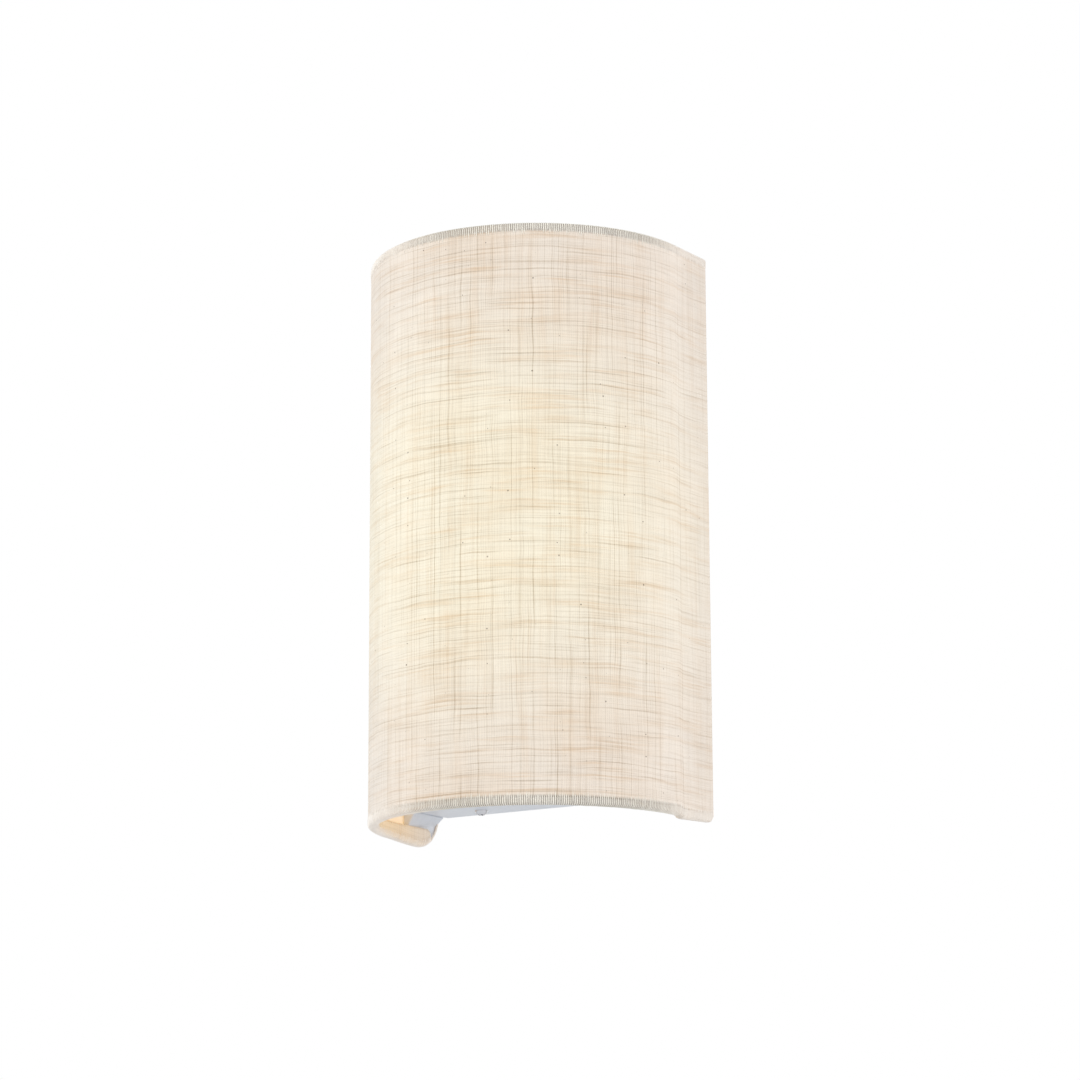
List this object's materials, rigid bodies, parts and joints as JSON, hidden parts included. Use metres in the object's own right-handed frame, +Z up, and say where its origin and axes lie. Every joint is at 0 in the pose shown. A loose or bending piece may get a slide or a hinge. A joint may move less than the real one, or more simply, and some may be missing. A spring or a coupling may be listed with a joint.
{
  "type": "fabric shade wall light",
  "caption": "Wall light with a D-shaped linen shade open at top and bottom, on a white steel back pan with a hooked wall plate and an upright screw-in lamp.",
  "frame": {"origin": "centre of the wall plate's back face, on the wall, at the middle of the shade's height", "axes": "+Z up, -Y out of the wall into the room, +X to the right as one faces the wall"},
  "size_m": [0.17, 0.115, 0.293],
  "materials": {
    "linen": "natural slub linen, matt, lit from behind",
    "lining": "smooth white lampshade lining",
    "white_paint": "white powder coat, satin",
    "frame_wire": "white epoxy coat",
    "zinc_steel": "zinc plated",
    "bright_screws": "bright plated",
    "rivet_aluminium": "plain",
    "holder_plastic": "white moulded, heat resisting",
    "holder_ceramic": "unglazed white",
    "nickel": "nickel plated, satin",
    "brass": "plain",
    "rubber": "soft black",
    "lead_brown": "brown insulation",
    "lead_blue": "blue insulation",
    "lead_green_yellow": "green and yellow insulation",
    "tinned_tag": "tinned",
    "terminal_plastic": "natural nylon",
    "tip_metal": "tinned contact",
    "cap_glass": "black insulating glass",
    "bulb_plastic": "white moulded",
    "opal_globe": "opal, lit from within"
  },
  "bodies": {
    "fixture": {"wall_plate": "zinc_steel", "back_pan": "white_paint", "pan_screws": "bright_screws", "side_rail_right": "white_paint", "side_rail_left": "white_paint", "rail_rivets": "rivet_aluminium", "ring_top": "frame_wire", "ring_bottom": "frame_wire", "shade_liner": "lining", "shade_fabric": "linen", "lamp_bracket": "white_paint", "bracket_screws": "bright_screws", "bracket_nuts": "zinc_steel", "holder_nipple": "zinc_steel", "nipple_nut": "zinc_steel", "nipple_washer": "zinc_steel", "holder_cap": "holder_plastic", "holder_sleeve": "holder_plastic", "holder_core": "holder_ceramic", "holder_terminal_screws": "brass", "holder_screw_shell": "nickel", "holder_centre_contact": "brass", "lead_grommet": "rubber", "lead_live": "lead_brown", "lead_neutral": "lead_blue", "earth_lead": "lead_green_yellow", "earth_tag": "tinned_tag", "earth_screw": "bright_screws", "earth_nut": "zinc_steel", "terminal_body": "terminal_plastic", "terminal_tubes": "brass", "terminal_screws": "zinc_steel", "terminal_fixing_screw": "zinc_steel"},
    "bulb_thread": {"bulb_tip": "tip_metal"},
    "bulb": {"bulb_insulator": "cap_glass", "bulb_screw_cap": "nickel", "bulb_neck": "bulb_plastic", "bulb_globe": "opal_globe"}
  },
  "joints": [
    {"name": "bulb_rise", "type": "slide", "parent": "fixture", "child": "bulb_thread", "axis": [0, 0, 1], "range_m": [0, 0.01693]},
    {"name": "bulb_turn", "type": "hinge", "parent": "bulb_thread", "child": "bulb", "pos_m": [0, -0.06845, 0], "axis": [0, 0, 1], "range_deg": [0, 2160]}
  ],
  "couplings": [
    {"joint": "bulb_rise", "follows": "bulb_turn", "m_per_rad": 0.00044913}
  ]
}
